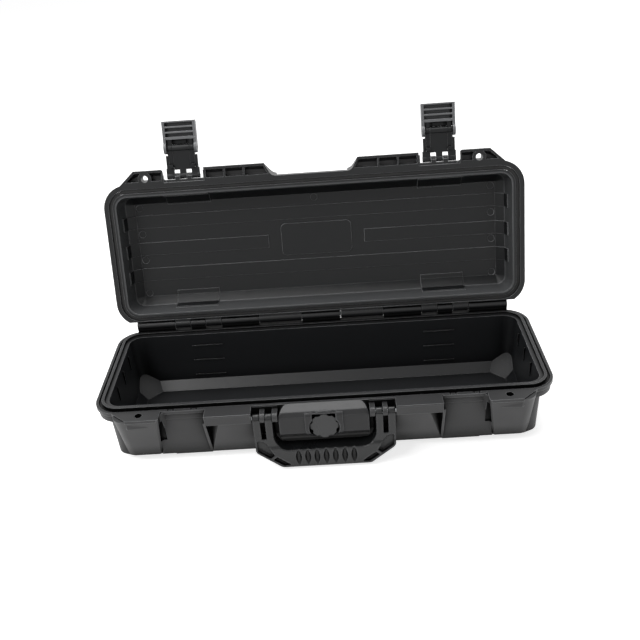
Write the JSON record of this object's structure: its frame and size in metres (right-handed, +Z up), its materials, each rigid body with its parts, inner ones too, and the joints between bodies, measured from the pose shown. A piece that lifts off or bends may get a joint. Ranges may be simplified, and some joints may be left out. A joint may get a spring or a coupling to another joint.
{
  "type": "hard tool case",
  "caption": "Long shallow moulded hard case standing open, with a hinged lid, throw latches, a bail handle, padlock ears and a pressure valve.",
  "frame": {"origin": "centre of the underside, in the plane that the foot ring stands on", "axes": "+X along the case, +Y from the latch side to the hinge side, +Z up"},
  "size_m": [0.499, 0.2635, 0.3225],
  "materials": {
    "steel": "satin",
    "rubber": "matte",
    "valve_plastic": "satin",
    "base_plastic": "fine moulded grain",
    "lid_plastic": "fine moulded grain",
    "handle_plastic": "satin",
    "link_plastic": "satin",
    "lever_plastic": "satin"
  },
  "bodies": {
    "base": {"base_shell": "base_plastic", "hinge_pin_left": "steel", "hinge_pin_right": "steel", "handle_pin_left": "steel", "handle_pin_right": "steel", "valve_body": "valve_plastic", "valve_oring": "rubber", "valve_nut": "valve_plastic"},
    "lid": {"lid_shell": "lid_plastic", "seal": "rubber", "latch_lid_pin_left": "steel", "latch_lid_pin_right": "steel"},
    "handle": {"handle": "handle_plastic"},
    "link_left": {"latch_link_left": "link_plastic", "latch_lever_pin_left": "steel"},
    "lever_left": {"latch_lever_left": "lever_plastic"},
    "link_right": {"latch_link_right": "link_plastic", "latch_lever_pin_right": "steel"},
    "lever_right": {"latch_lever_right": "lever_plastic"},
    "valve_knob": {"valve_knob": "valve_plastic"}
  },
  "joints": [
    {"name": "lid_hinge", "type": "hinge", "parent": "base", "child": "lid", "pos_m": [0, 0.088, 0.0853], "axis": [1, 0, 0], "range_deg": [0, 104.8]},
    {"name": "handle_swing", "type": "hinge", "parent": "base", "child": "handle", "pos_m": [0, -0.096, 0.0685], "axis": [-1, 0, 0], "range_deg": [0, 90]},
    {"name": "latch_link_left_swing", "type": "hinge", "parent": "lid", "child": "link_left", "pos_m": [-0.151, 0.13242, 0.26047], "axis": [1, 0, 0], "range_deg": [0, 90]},
    {"name": "latch_lever_left_throw", "type": "hinge", "parent": "link_left", "child": "lever_left", "pos_m": [-0.151, 0.14072, 0.29189], "axis": [1, 0, 0], "range_deg": [-95, 0]},
    {"name": "latch_link_right_swing", "type": "hinge", "parent": "lid", "child": "link_right", "pos_m": [0.151, 0.13242, 0.26047], "axis": [1, 0, 0], "range_deg": [0, 90]},
    {"name": "latch_lever_right_throw", "type": "hinge", "parent": "link_right", "child": "lever_right", "pos_m": [0.151, 0.14072, 0.29189], "axis": [1, 0, 0], "range_deg": [-95, 0]},
    {"name": "valve_turn", "type": "hinge", "parent": "base", "child": "valve_knob", "pos_m": [0, -0.093, 0.0535], "axis": [0, -1, 0], "range_deg": [0, 180]}
  ]
}
